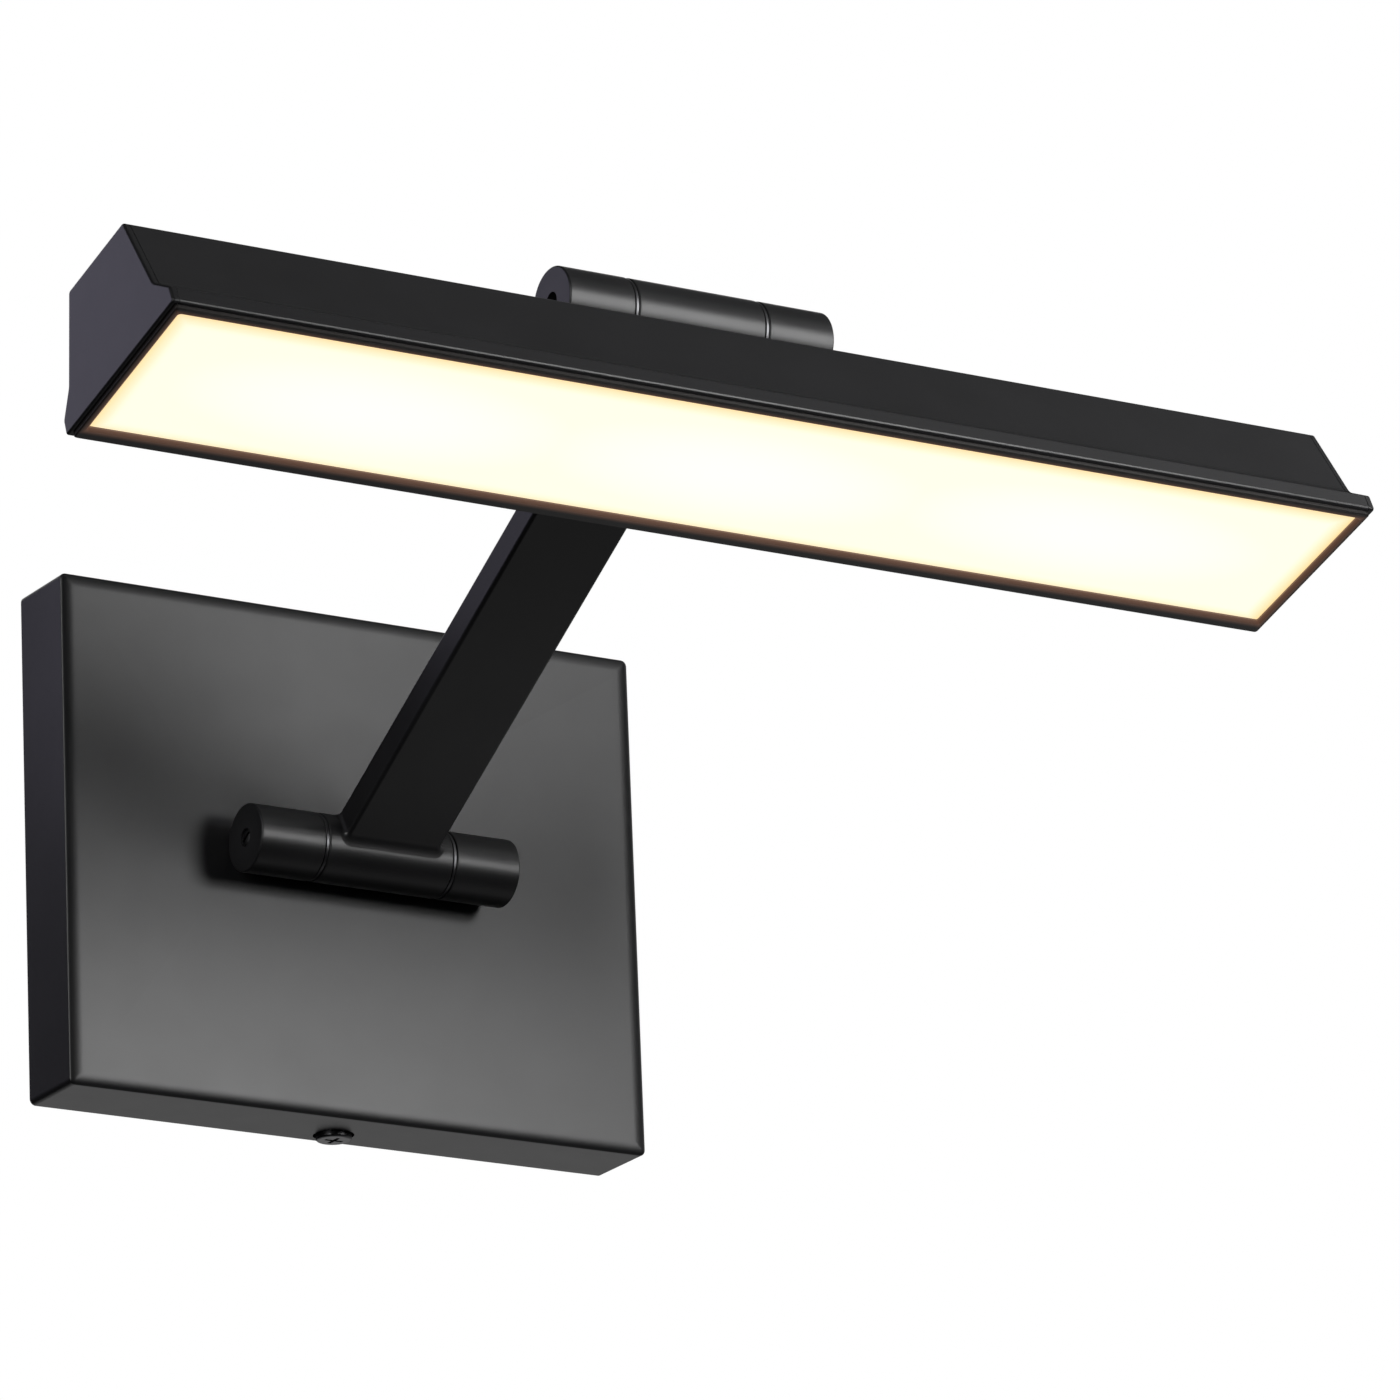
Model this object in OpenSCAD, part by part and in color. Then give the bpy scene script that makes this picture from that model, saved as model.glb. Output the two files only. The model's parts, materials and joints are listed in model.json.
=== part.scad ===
// Picture light: a wall plate, an arm on a tilting knuckle, and a long LED head on a second knuckle.
// The origin is on the wall, at the middle of the wall bracket. +X right, +Y into the wall, +Z up.

/* [Wall plate] */
// Width of the plate
plate_w = 142; // [130:1:160]
// Height of the plate
plate_h = 114; // [106:1:130]
// How far the plate's face stands off the wall
plate_d = 19; // [18:0.5:24]
// Thickness of the plate's walls
plate_wall = 1.5; // [1.2:0.1:1.8]
// Rounding of the plate's outer edges
plate_round = 1.4; // [0.8:0.1:2]
// Distance of the lock screw from the wall
lock_screw_y = 5.6; // [5.4:0.1:8]

/* [Wall bracket] */
// Width of the bracket strip
bracket_w = 26; // [20:1:28]
// Thickness of the bracket strip
bracket_t = 2; // [1.5:0.1:2.5]
// Distance between the two mounting slots
slot_spacing = 80; // [72:1:84]
// Width of each mounting slot
slot_w = 4.8; // [4.4:0.1:5.4]
// Length of each mounting slot, end to end
slot_l = 14; // [10:1:16]

/* [Knuckles] */
// Diameter of both knuckles
knuckle_d = 15; // [15:0.5:17]
// Length of a whole knuckle
knuckle_l = 64; // [64:1:70]
// Length of the turning barrel in its middle
barrel_l = 30.5; // [30:0.5:32]
// Thickness of the bright washers
washer_t = 0.8; // [0.6:0.1:1]
// Running gap on each side of a washer
washer_gap = 0.1; // [0.1:0.05:0.2]
// Gap between the lower knuckle and the plate's face
knuckle_gap = 0.5; // [0.5:0.1:2]

/* [Arm] */
// Distance between the two knuckle axes
arm_l = 154; // [130:1:200]
// Angle of the arm above the horizontal
arm_angle = 30; // [20:1:40]
// Width of the arm
arm_w = 23; // [20:0.5:24]
// Thickness of the arm
arm_t = 7; // [6:0.5:8]

/* [Head] */
// Length of the head over its end caps
head_l = 287; // [240:1:400]
// Height of the housing over the lens plane
head_h = 28; // [28:0.5:32]
// Half width of the housing's flat top
top_half = 12; // [12:0.5:14]
// How far the head's front edge is tilted up
head_tilt = 16.5; // [0:0.5:25]
// Height of the upper knuckle's axis over the top of the head
pivot_rise = 14.5; // [12:0.5:18]
// How far the upper knuckle's axis lies behind the middle of the top
pivot_back = 6; // [4:0.5:7]
// Thickness of the housing's walls
shell_t = 1.5; // [1.2:0.1:1.6]
// Number of LED chips in the row
led_count = 24; // [12:1:30]

/* [Hidden] */
$fn = 64;
blend_fn = 32;
cut = 1;                                    // extra length of a cutting shape past a face
screw_round = 0.6;                          // rounding of the screw heads
cross_w = 0.44;                             // width of a cross recess, in shank radii
cross_l = 1.1;                              // its length, in head radii
cross_floor = 0.45;                         // height of its floor, in head heights

// knuckles
knuckle_r = knuckle_d / 2;
ear_l = (knuckle_l - barrel_l) / 2 - washer_t - 2 * washer_gap;
ear_inner = knuckle_l / 2 - ear_l;
ear_round = 0.4;
lower_foot = knuckle_r + knuckle_gap;       // from the lower axis to the plate's face
upper_foot = pivot_rise;                    // from the upper axis to the head's top
axis_y = -(plate_d + lower_foot);
neck_l = 12;
neck_w = 9;
neck_x = 23.5;                              // middle of an ear's neck
foot_screws = [-26.5, -20.5, 19.6];         // tapped holes in the feet of the ears
foot_screw_r = 1.25;
foot_head = [2.2, 1.8];                     // radius and height of the heads of these screws
foot_hole_r = 1.6;
tap_r = 1.27;
tip_gap = 0.3;                              // from a screw's tip or a pivot's end to the bottom of its hole
lower_tap = 3.4;                            // depth of the tapped holes
upper_tap = 6;
wire_x = 26;                                // where the wires leave the right ear's foot
wire_r = 2;
washer_step = 0.15;                         // how far a washer's rim lies below the barrels
grommet_wall = 0.8;
grommet_flange = [3.6, 0.8];                // radius and thickness
pivot_r = 2;
slip = 0.03;                                // radial clearance of a plain clearance hole
pivot_slot = [0.7, 1.2];                    // width and depth of the screwdriver slot
lower_recess = 0.1;                         // how deep each pivot screw sits in its ear
upper_recess = 3;
nose_r = 1.5;
wire_pivot_r = 4;
wire_pivot_bore = 2.8;
wire_pivot_grip = 5.5;                      // how far it reaches into the right ear
ear_end = 4;                                // closed end of the right ear's bore
pivot_bush_r = 4.5;
wire_bush_r = 5.2;
bush_l = 8;
run_fit = 0.05;                             // radial clearance of the turning fits
bush_floor = 1.2;
chamber_x = barrel_l / 2 - bush_l;
overlap = 0.01;                             // joins two shapes of one piece
channel = [10, 3];                          // width and height of the wire channel through the arm
channel_end = 2;                            // from each axis to the end of the channel
bar_round = 1.5;
root = [5, 10.5, 3.5, 3];                   // arm root: start, end, extra width and extra thickness
lead_r = 1.2;
lead_gap = 1;                               // from a lead's end to the edge of the chamber

// wall plate
boss = [5.4, 1.2];                          // radius and height of the boss round the lock screw
lock_recess = [4.5, 1.3];                   // radius and depth of its recess
lock_hole_r = 2.3;
lock_l = 9;
lock_head = [3.9, 2.5];
bracket_gap = [1.4, 0.2];                   // clearance in the plate at the bottom and at the top
centre_hole_r = 5;
ground_z = -16;
ground_head = [3.8, 2.2];
pad_t = 0.6;
driver_low = [33, plate_wall - plate_d + pad_t, -44];
driver_high = [66, -4, 44];
driver_socket = [1.8, 3, 30];               // radius, depth and height of each lead socket
pad_inset = [3, 4];

// head, seen from its left end: y runs from the front edge to the back edge, z up from the lens plane
head_half = head_l / 2;
cap_t = 1.5;
front_tip = -top_half - 12.5;
back_tip = top_half + 10.5;
foot_half = top_half + 6.5;
outline = [[front_tip, 0], [front_tip + 0.5, 3.8], [-foot_half, 8.5], [-top_half, head_h],
    [top_half, head_h], [foot_half, 9], [back_tip, 3.6], [back_tip, 0]];
outline_r = [0.7, 0.6, 4, 1, 1, 4, 1.6, 0.7];
wall_x = shell_t * 1.05;                    // wall thickness measured along y on a leaning wall
hollow = [[front_tip + wall_x, -cut], [front_tip + wall_x, 2.8], [-foot_half + wall_x, 7.6],
    [-top_half + wall_x - 0.5, head_h - shell_t], [top_half - wall_x + 0.5, head_h - shell_t],
    [foot_half - wall_x, 8], [back_tip - wall_x, 3], [back_tip - wall_x, -cut]];
hollow_r = [0.1, 0.6, 5, 1, 1, 5, 1, 0.1];
bezel_t = 1;
bezel_inset = 1;
window_front = front_tip + 3.1;
window_back = back_tip - 4.4;
window_half = head_half - 2.8;
window_bevel = 0.6;
diffuser_t = 2;
diffuser_rest = 0.8;                        // how far the diffuser rests on the bezel at the front and ends
diffuser_back = 2.3;                        // and at the back
cap_tab = [5, 8, 1];                        // reach, half width and height over the tray of an end cap's tab
tray_top = 20.2;
tray_t = 0.8;
tray_low = 2.4;
tray_end = 3;                               // from each end of the head to the tray
board_t = 1.6;
board_w = 14;
board_l = head_l - 27;
board_z = tray_top - tray_t - board_t;
post_x = [-110, -40, 40, 110];
post_r = 2.8;
post_bore = 5;
tray_screw = [6.5, 2.6, 1.6];               // length, head radius and head height
chip = [3.5, 2.8, 0.7];
chip_offset = 4.5;                          // each chip's distance from the board's middle line
connector_low = [47, pivot_back - 3, tray_top];
connector_high = [57, pivot_back + 3, tray_top + 5.4];
lead_drop = 4;                              // depth of the head's lead under the top

function unit(v) = v / norm(v);
// points of an arc of radius r that rounds the corner b between a and c
function corner(a, b, c, r, n = 8) =
    let (u = unit(a - b), v = unit(c - b), half = acos(u * v) / 2,
        middle = b + unit(u + v) * r / sin(half),
        p = b + u * r / tan(half) - middle, q = b + v * r / tan(half) - middle)
    [for (i = [0 : n]) middle + unit(p * (n - i) + q * i) * r];
function rounded(points, radii) = let (n = len(points))
    [for (i = [0 : n - 1]) each corner(points[(i + n - 1) % n], points[i], points[(i + 1) % n], radii[i])];

// frames
module at_lower_axis() translate([0, axis_y, 0]) rotate([90, 0, 0]) children();
module along_arm() translate([0, axis_y, 0]) rotate([90 - arm_angle, 0, 0]) children();
module at_upper_axis() translate([0, axis_y - arm_l * cos(arm_angle), arm_l * sin(arm_angle)])
    rotate([-head_tilt, 0, 0]) children();
module in_head() at_upper_axis() translate([0, -pivot_back, -pivot_rise - head_h]) children();

// shapes that repeat
module rod(x0, x1, r) translate([x0, 0, 0]) rotate([0, 90, 0]) cylinder(r = r, h = x1 - x0);
module ring(x0, x1, r, hole) difference() {
    rod(x0, x1, r);
    rod(x0 - cut, x1 + cut, hole);
}
module block(low, high) translate(low) cube(high - low);
module rounded_bar(w, t, h, r) linear_extrude(h) union() {
    square([w - 2 * r, t], center = true);
    square([w, t - 2 * r], center = true);
    for (x = [-1, 1], y = [-1, 1]) translate([x * (w / 2 - r), y * (t / 2 - r)]) circle(r);
}
module along_x(half) rotate([90, 0, 90]) translate([0, 0, -half]) linear_extrude(2 * half) children();
module pan_screw(r, length, head_r, head_t) {
    translate([0, 0, -length]) cylinder(r = r, h = length + overlap);
    difference() {
        rotate_extrude() intersection() {
            union() {
                square([head_r - screw_round, head_t]);
                square([head_r, head_t - screw_round]);
                translate([head_r - screw_round, head_t - screw_round]) circle(screw_round);
            }
            square([head_r, head_t]);
        }
        for (a = [0, 90]) rotate([0, 0, a])
            translate([-head_r * cross_l / 2, -r * cross_w / 2, head_t * cross_floor])
                cube([head_r * cross_l, r * cross_w, head_t]);
    }
}
// a wire of radius r along the given points, with its bends rounded to the given radius
function route(points, bend) = let (last = len(points) - 1) [points[0],
    for (i = [1 : last - 1]) each corner(points[i - 1], points[i], points[i + 1], bend, 4), points[last]];
module wire(points, r, bend = 2.5, sides = 8) {
    path = route(points, bend);
    last = len(path) - 1;
    steady = unit([0.31, 0.42, -0.85]);     // a direction that no stretch of wire runs along
    rings = [for (i = [0 : last]) let (along = unit(path[min(i + 1, last)] - path[max(i - 1, 0)]),
        u = unit(cross(along, steady)), v = cross(along, u))
        each [for (k = [0 : sides - 1]) let (a = 360 * k / sides)
            path[i] + r * (u * cos(a) + v * sin(a))]];
    polyhedron(rings, concat([[for (k = [0 : sides - 1]) k]],
        [for (i = [0 : last - 1], k = [0 : sides - 1]) let (next = (k + 1) % sides)
            [i * sides + k, (i + 1) * sides + k, (i + 1) * sides + next, i * sides + next]],
        [[for (k = [sides - 1 : -1 : 0]) last * sides + k]]));
}

// knuckles, with the foot of the ears towards -Z
module ear_blank(side, foot) {
    mirror([side < 0 ? 1 : 0, 0, 0]) {
        translate([ear_inner, 0, 0]) rotate([0, 90, 0]) rotate_extrude() {
            square([knuckle_r - ear_round, ear_l]);
            square([knuckle_r, ear_l - ear_round]);
            translate([knuckle_r - ear_round, ear_l - ear_round]) circle(ear_round);
        }
        block([neck_x - neck_l / 2, -neck_w / 2, -foot], [neck_x + neck_l / 2, neck_w / 2, 0]);
    }
}
module foot_holes(foot, depth) for (x = foot_screws)
    translate([x, 0, -foot - cut]) cylinder(r = tap_r, h = depth + cut);
module left_ear(foot, depth) difference() {
    ear_blank(-1, foot);
    rod(-knuckle_l / 2 - cut, -ear_inner + cut, pivot_r + slip);
    foot_holes(foot, depth);
}
module right_ear(foot, depth) difference() {
    ear_blank(1, foot);
    rod(ear_inner - cut, knuckle_l / 2 - ear_end, wire_pivot_r + slip);
    translate([wire_x, 0, -foot - cut]) cylinder(r = wire_r, h = foot + cut);
    foot_holes(foot, depth);
}
module foot_screw_set(foot, wall, depth) for (x = foot_screws)
    translate([x, 0, -foot - wall]) rotate([180, 0, 0])
        pan_screw(foot_screw_r, wall + depth - tip_gap, foot_head[0], foot_head[1]);
module pivot_screw(recess) difference() {
    shoulder = -barrel_l / 2 - washer_gap;
    slotted = -knuckle_l / 2 + recess;
    union() {
        rod(slotted, shoulder, pivot_r);
        rod(shoulder - overlap, -chamber_x - bush_floor - washer_gap, nose_r);
    }
    block([slotted - cut, -pivot_r - cut, -pivot_slot[0] / 2],
        [slotted + pivot_slot[1], pivot_r + cut, pivot_slot[0] / 2]);
}
module wire_pivot() ring(chamber_x + tip_gap, ear_inner + wire_pivot_grip, wire_pivot_r, wire_pivot_bore);
module washer_pair() {
    outer = knuckle_r - washer_step;
    near = barrel_l / 2 + washer_gap;
    ring(-near - washer_t, -near, outer, pivot_r + washer_gap);
    ring(near, near + washer_t, outer, wire_pivot_r + washer_gap);
}
module pivot_bush() difference() {
    rod(-barrel_l / 2, -chamber_x, pivot_bush_r);
    rod(-barrel_l / 2 - cut, -chamber_x - bush_floor, nose_r + run_fit);
}
module wire_bush() ring(chamber_x, barrel_l / 2, wire_bush_r, wire_pivot_r + run_fit);
module barrel_bores() {
    rod(-barrel_l / 2 - cut, -chamber_x, pivot_bush_r);
    rod(-chamber_x - overlap, barrel_l / 2 + cut, wire_bush_r);
}
module grommet(foot, wall) translate([wire_x, 0, -foot - wall]) rotate_extrude() {
    translate([wire_r, -grommet_flange[1]]) square([grommet_wall, wall + grommet_flange[1]]);
    translate([wire_r, -grommet_flange[1]]) square([grommet_flange[0] - wire_r, grommet_flange[1]]);
}

// wall plate
module canopy() color("dimgray") difference() {
    union() {
        difference() {
            hull() for (x = [-1, 1], z = [-1, 1])
                translate([x * (plate_w / 2 - plate_round), 0, z * (plate_h / 2 - plate_round)]) {
                    translate([0, plate_round - plate_d, 0]) sphere(plate_round, $fn = blend_fn);
                    rotate([90, 0, 0]) cylinder(r = plate_round, h = overlap, $fn = blend_fn);
                }
            block([plate_wall - plate_w / 2, plate_wall - plate_d, plate_wall - plate_h / 2],
                [plate_w / 2 - plate_wall, cut, plate_h / 2 - plate_wall]);
        }
        translate([0, -lock_screw_y, -plate_h / 2 + plate_wall - overlap])
            cylinder(r = boss[0], h = boss[1]);
    }
    translate([0, -lock_screw_y, -plate_h / 2 - cut]) {
        cylinder(r = lock_hole_r, h = plate_wall + boss[1] + 2 * cut);
        cylinder(r = lock_recess[0], h = cut + lock_recess[1]);
    }
    translate([0, -plate_d - cut, 0]) rotate([-90, 0, 0]) {
        for (x = foot_screws) translate([x, 0, 0]) cylinder(r = foot_hole_r, h = plate_wall + 2 * cut);
        translate([wire_x, 0, 0]) cylinder(r = wire_r + grommet_wall, h = plate_wall + 2 * cut);
    }
}
module wall_bracket() color("silver") difference() {
    top = plate_h / 2 - plate_wall - bracket_gap[1];
    bottom = -plate_h / 2 + plate_wall + bracket_gap[0];
    tab_y = -lock_screw_y - boss[0];
    union() {
        block([-bracket_w / 2, -bracket_t, bottom], [bracket_w / 2, 0, top]);
        block([-bracket_w / 2, tab_y, bottom], [bracket_w / 2, 0, bottom + bracket_t]);
        block([-bracket_w / 2, tab_y, top - bracket_t], [bracket_w / 2, 0, top]);
    }
    for (z = [-1, 1]) translate([0, 0, z * slot_spacing / 2]) {
        straight = (slot_l - slot_w) / 2;
        for (end = [-1, 1]) translate([0, cut, end * straight])
            rotate([90, 0, 0]) cylinder(d = slot_w, h = bracket_t + 2 * cut);
        block([-slot_w / 2, -bracket_t - cut, -straight], [slot_w / 2, cut, straight]);
    }
    translate([0, cut, 0]) rotate([90, 0, 0]) cylinder(r = centre_hole_r, h = bracket_t + 2 * cut);
    translate([0, cut, ground_z]) rotate([90, 0, 0])
        cylinder(r = pivot_r + slip, h = bracket_t + 2 * cut);
    translate([0, -lock_screw_y, bottom - cut]) cylinder(r = pivot_r + slip, h = 2 * cut + bracket_t);
}
module lock_screw() color("dimgray") translate([0, -lock_screw_y, -plate_h / 2 + lock_recess[1]])
    rotate([180, 0, 0]) pan_screw(pivot_r, lock_l, lock_head[0], lock_head[1]);
module ground_screw() color("green") translate([0, -bracket_t, ground_z])
    rotate([90, 0, 0]) pan_screw(pivot_r, bracket_t, ground_head[0], ground_head[1]);
module left_wall_ear() color("dimgray") at_lower_axis() left_ear(lower_foot, lower_tap);
module right_wall_ear() color("dimgray") at_lower_axis() right_ear(lower_foot, lower_tap);
module wall_ear_screws() color("silver") at_lower_axis() foot_screw_set(lower_foot, plate_wall, lower_tap);
module lower_pivot_screw() color("gray") at_lower_axis() pivot_screw(lower_recess);
module lower_wire_pivot() color("silver") at_lower_axis() wire_pivot();
module lower_washers() color("lightgray") at_lower_axis() washer_pair();
module plate_grommet() color("black") at_lower_axis() grommet(lower_foot, plate_wall);
module led_driver() color("white") difference() {
    block(driver_low, driver_high);
    for (z = [-1, 1])
        translate([driver_low[0] - cut, (driver_low[1] + driver_high[1]) / 2, z * driver_socket[2]])
            rotate([0, 90, 0]) cylinder(r = driver_socket[0], h = driver_socket[1] + cut);
}
module driver_pad() color("gray")
    block([driver_low[0] + pad_inset[0], plate_wall - plate_d, driver_low[2] + pad_inset[1]],
        [driver_high[0] - pad_inset[0], driver_low[1], driver_high[2] - pad_inset[1]]);
module canopy_lead() color("black") {
    mid = (driver_low[1] + driver_high[1]) / 2;
    wire([[driver_low[0] + driver_socket[1], mid, driver_socket[2]], [wire_x, mid, driver_socket[2]],
        [wire_x, mid, 0], [wire_x, axis_y, 0], [chamber_x + lead_gap, axis_y, 0]], lead_r);
}

// arm
module arm() color("dimgray") along_arm() difference() {
    union() {
        for (z = [0, arm_l]) translate([0, 0, z]) rod(-barrel_l / 2, barrel_l / 2, knuckle_r);
        translate([0, 0, root[0]]) rounded_bar(arm_w, arm_t, arm_l - 2 * root[0], bar_round);
        for (end = [0, 1]) translate([0, 0, end * arm_l]) mirror([0, 0, end]) hull() {
            translate([0, 0, root[0]])
                rounded_bar(arm_w + root[2], arm_t + root[3], overlap, bar_round, $fn = blend_fn);
            translate([0, 0, root[1]]) rounded_bar(arm_w, arm_t, overlap, bar_round, $fn = blend_fn);
        }
    }
    for (z = [0, arm_l]) translate([0, 0, z]) barrel_bores();
    block([-channel[0] / 2, -channel[1] / 2, channel_end],
        [channel[0] / 2, channel[1] / 2, arm_l - channel_end]);
}
module lower_pivot_bush() color("ivory") along_arm() pivot_bush();
module lower_wire_bush() color("ivory") along_arm() wire_bush();
module upper_pivot_bush() color("ivory") along_arm() translate([0, 0, arm_l]) pivot_bush();
module upper_wire_bush() color("ivory") along_arm() translate([0, 0, arm_l]) wire_bush();
module arm_lead() color("black") along_arm() {
    end_x = chamber_x - lead_gap;
    wire([[end_x, 0, 0], [0, 0, 0], [0, 0, arm_l], [end_x, 0, arm_l]], lead_r);
}

// head
module left_head_ear() color("dimgray") at_upper_axis() left_ear(upper_foot, upper_tap);
module right_head_ear() color("dimgray") at_upper_axis() right_ear(upper_foot, upper_tap);
module head_ear_screws() color("silver") at_upper_axis() foot_screw_set(upper_foot, shell_t, upper_tap);
module upper_pivot_screw() color("gray") at_upper_axis() pivot_screw(upper_recess);
module upper_wire_pivot() color("silver") at_upper_axis() wire_pivot();
module upper_washers() color("lightgray") at_upper_axis() washer_pair();
module head_grommet() color("black") at_upper_axis() grommet(upper_foot, shell_t);
module head_shell() color("dimgray") in_head() difference() {
    along_x(head_half - cap_t) polygon(rounded(outline, outline_r));
    along_x(head_half) polygon(rounded(hollow, hollow_r));
    translate([0, pivot_back, head_h - shell_t - cut]) {
        for (x = foot_screws) translate([x, 0, 0]) cylinder(r = foot_hole_r, h = shell_t + 2 * cut);
        translate([wire_x, 0, 0]) cylinder(r = wire_r + grommet_wall, h = shell_t + 2 * cut);
    }
}
module end_cap(side) color("dimgray") in_head() mirror([side < 0 ? 1 : 0, 0, 0]) {
    translate([head_half - cap_t / 2, 0, 0]) along_x(cap_t / 2) polygon(rounded(outline, outline_r));
    block([head_half - cap_t - cap_tab[0], -cap_tab[1], tray_top + cap_tab[2]],
        [head_half - cap_t, cap_tab[1], head_h - shell_t]);
}
module left_end_cap() end_cap(-1);
module right_end_cap() end_cap(1);
module bezel() color("dimgray") in_head() difference() {
    block([bezel_inset - head_half, front_tip + bezel_inset, -bezel_t],
        [head_half - bezel_inset, back_tip - bezel_inset, 0]);
    block([-window_half, window_front, -bezel_t - cut], [window_half, window_back, cut]);
    for (side = [-1, 1]) {
        translate([side * window_half, 0, -bezel_t]) rotate([0, side * 45, 0])
            block([-window_bevel, front_tip, -window_bevel], [window_bevel, back_tip, window_bevel]);
        translate([0, side < 0 ? window_front : window_back, -bezel_t]) rotate([-side * 45, 0, 0])
            block([-window_half, -window_bevel, -window_bevel], [window_half, window_bevel, window_bevel]);
    }
}
module diffuser() color("lightyellow") in_head()
    block([-window_half - diffuser_rest, window_front - diffuser_rest, 0],
        [window_half + diffuser_rest, window_back + diffuser_back, diffuser_t]);
tray_outer = [[front_tip + 5, tray_low], [-foot_half + 2.9, 8.2], [-top_half, tray_top],
    [top_half, tray_top], [foot_half - 2.9, 8.2], [back_tip - 4.3, tray_low]];
tray_inner = [[front_tip + 5 + tray_t, tray_low - cut], [-foot_half + 3.8, 8],
    [-top_half + tray_t, tray_top - tray_t], [top_half - tray_t, tray_top - tray_t],
    [foot_half - 3.8, 8], [back_tip - 4.3 - tray_t, tray_low - cut]];
module reflector_tray() color("white") in_head() difference() {
    along_x(head_half - tray_end) polygon(tray_outer);
    along_x(head_half) polygon(tray_inner);
    for (x = post_x) translate([x, 0, 0]) cylinder(r = foot_hole_r, h = head_h);
}
module tray_posts() color("silver") in_head() for (x = post_x) translate([x, 0, tray_top]) difference() {
    cylinder(r = post_r, h = head_h - shell_t - tray_top, $fn = 6);
    translate([0, 0, -cut]) cylinder(r = tap_r, h = post_bore + cut);
}
module tray_screws() color("silver") in_head() for (x = post_x)
    translate([x, 0, board_z]) rotate([180, 0, 0])
        pan_screw(foot_screw_r, tray_screw[0], tray_screw[1], tray_screw[2]);
module led_board() color("white") in_head() difference() {
    block([-board_l / 2, -board_w / 2, board_z], [board_l / 2, board_w / 2, board_z + board_t]);
    for (x = post_x) translate([x, 0, 0]) cylinder(r = foot_hole_r, h = head_h);
}
module led_chips() color("gold") in_head() for (i = [0 : led_count - 1]) {
    x = (i + 0.5) * board_l / led_count - board_l / 2;
    y = i % 2 == 0 ? -chip_offset : chip_offset;
    translate([x - chip[0] / 2, y - chip[1] / 2, board_z - chip[2]]) cube(chip);
}
module lead_connector() color("white") in_head() block(connector_low, connector_high);
module head_lead() color("black") at_upper_axis() {
    low = -pivot_rise - lead_drop;
    wire([[chamber_x + lead_gap, 0, 0], [wire_x, 0, 0], [wire_x, 0, low], [connector_low[0], 0, low]],
        lead_r);
}

canopy();
wall_bracket();
lock_screw();
ground_screw();
left_wall_ear();
right_wall_ear();
wall_ear_screws();
lower_pivot_screw();
lower_wire_pivot();
lower_washers();
plate_grommet();
led_driver();
driver_pad();
canopy_lead();
arm();
lower_pivot_bush();
lower_wire_bush();
upper_pivot_bush();
upper_wire_bush();
arm_lead();
left_head_ear();
right_head_ear();
head_ear_screws();
upper_pivot_screw();
upper_wire_pivot();
upper_washers();
head_grommet();
head_shell();
left_end_cap();
right_end_cap();
bezel();
diffuser();
reflector_tray();
tray_posts();
tray_screws();
led_board();
led_chips();
lead_connector();
head_lead();
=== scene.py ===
"""Looks of a wall picture light: a satin black plate, a flat arm on two knuckles and a long lit head.

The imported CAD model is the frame. Shapes are written in millimetres, each in the frame of its own
sub-assembly, and piece() turns them into metres in the model's frame. The parts that show are remade with
fine edges and fillets. The parts inside keep their CAD shape and get their material here.
"""
import json
import math

import bmesh
import bpy
from mathutils import Matrix, Vector


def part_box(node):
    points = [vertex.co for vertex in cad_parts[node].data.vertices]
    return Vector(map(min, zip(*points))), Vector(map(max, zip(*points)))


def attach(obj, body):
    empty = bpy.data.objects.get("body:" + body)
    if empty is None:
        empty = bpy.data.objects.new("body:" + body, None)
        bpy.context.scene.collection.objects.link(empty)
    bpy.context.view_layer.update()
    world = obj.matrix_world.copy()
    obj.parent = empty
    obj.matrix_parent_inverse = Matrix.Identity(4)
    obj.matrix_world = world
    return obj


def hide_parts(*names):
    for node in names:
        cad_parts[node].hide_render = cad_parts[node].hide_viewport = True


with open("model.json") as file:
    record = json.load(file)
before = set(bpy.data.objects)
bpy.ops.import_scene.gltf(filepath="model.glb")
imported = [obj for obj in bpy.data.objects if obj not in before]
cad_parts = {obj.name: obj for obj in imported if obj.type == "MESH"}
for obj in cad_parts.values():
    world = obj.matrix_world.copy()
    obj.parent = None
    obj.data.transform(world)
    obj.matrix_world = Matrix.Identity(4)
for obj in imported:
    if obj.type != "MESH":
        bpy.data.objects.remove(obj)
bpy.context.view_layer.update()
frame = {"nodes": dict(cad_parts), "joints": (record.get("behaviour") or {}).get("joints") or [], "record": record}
MM = 0.001

# ---------------------------------------------------------------- dimensions, in millimetres
# wall plate
PLATE_LOW, PLATE_HIGH = [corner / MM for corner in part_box("canopy")]
PLATE_WALL = 1.5
PLATE_CORNER = 1.4
PLATE_INNER_CORNER = 0.4
PLATE_FLAT_BORDER = 1.5       # a narrow flat ring that keeps the face's shading flat
PLATE_EDGE = (3.2, 1.0)       # the pressed edge: width on the face and depth
LOCK_Y = -5.6
LOCK_RECESS = (4.5, 1.3)      # radius and depth
LOCK_HOLE = 2.3
LOCK_BOSS = (5.4, 1.2)        # radius and height

# knuckles
KNUCKLE_R = 7.5
KNUCKLE_HALF = 32
EAR_INNER = 16.25
EAR_ROUND = 0.4
SEAM = 0.3                    # chamfer beside a washer
BARREL_HALF = 15.25
CHAMBER_X = 7.25
WASHER = (15.35, 16.15, 7.35)  # inner face, outer face, radius
WASHER_EDGE = 0.18
PIVOT_R = 2
NOSE_R = 1.5
NOSE_END = 8.55
SLOT = (0.7, 1.2)             # width and depth
SLOT_TURN = math.radians(60)
PIVOT_BUSH_R = 4.5
WIRE_BUSH_R = 5.2
WIRE_PIVOT_R = 4
WIRE_X = 26
WIRE_R = 2
BORE_PLAY = 0.03              # added to an ear's bore around its pin
WASHER_PLAY = 0.1             # added to a washer's hole
FOOT_BREAK = 0.2              # break at the foot of an ear
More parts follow.
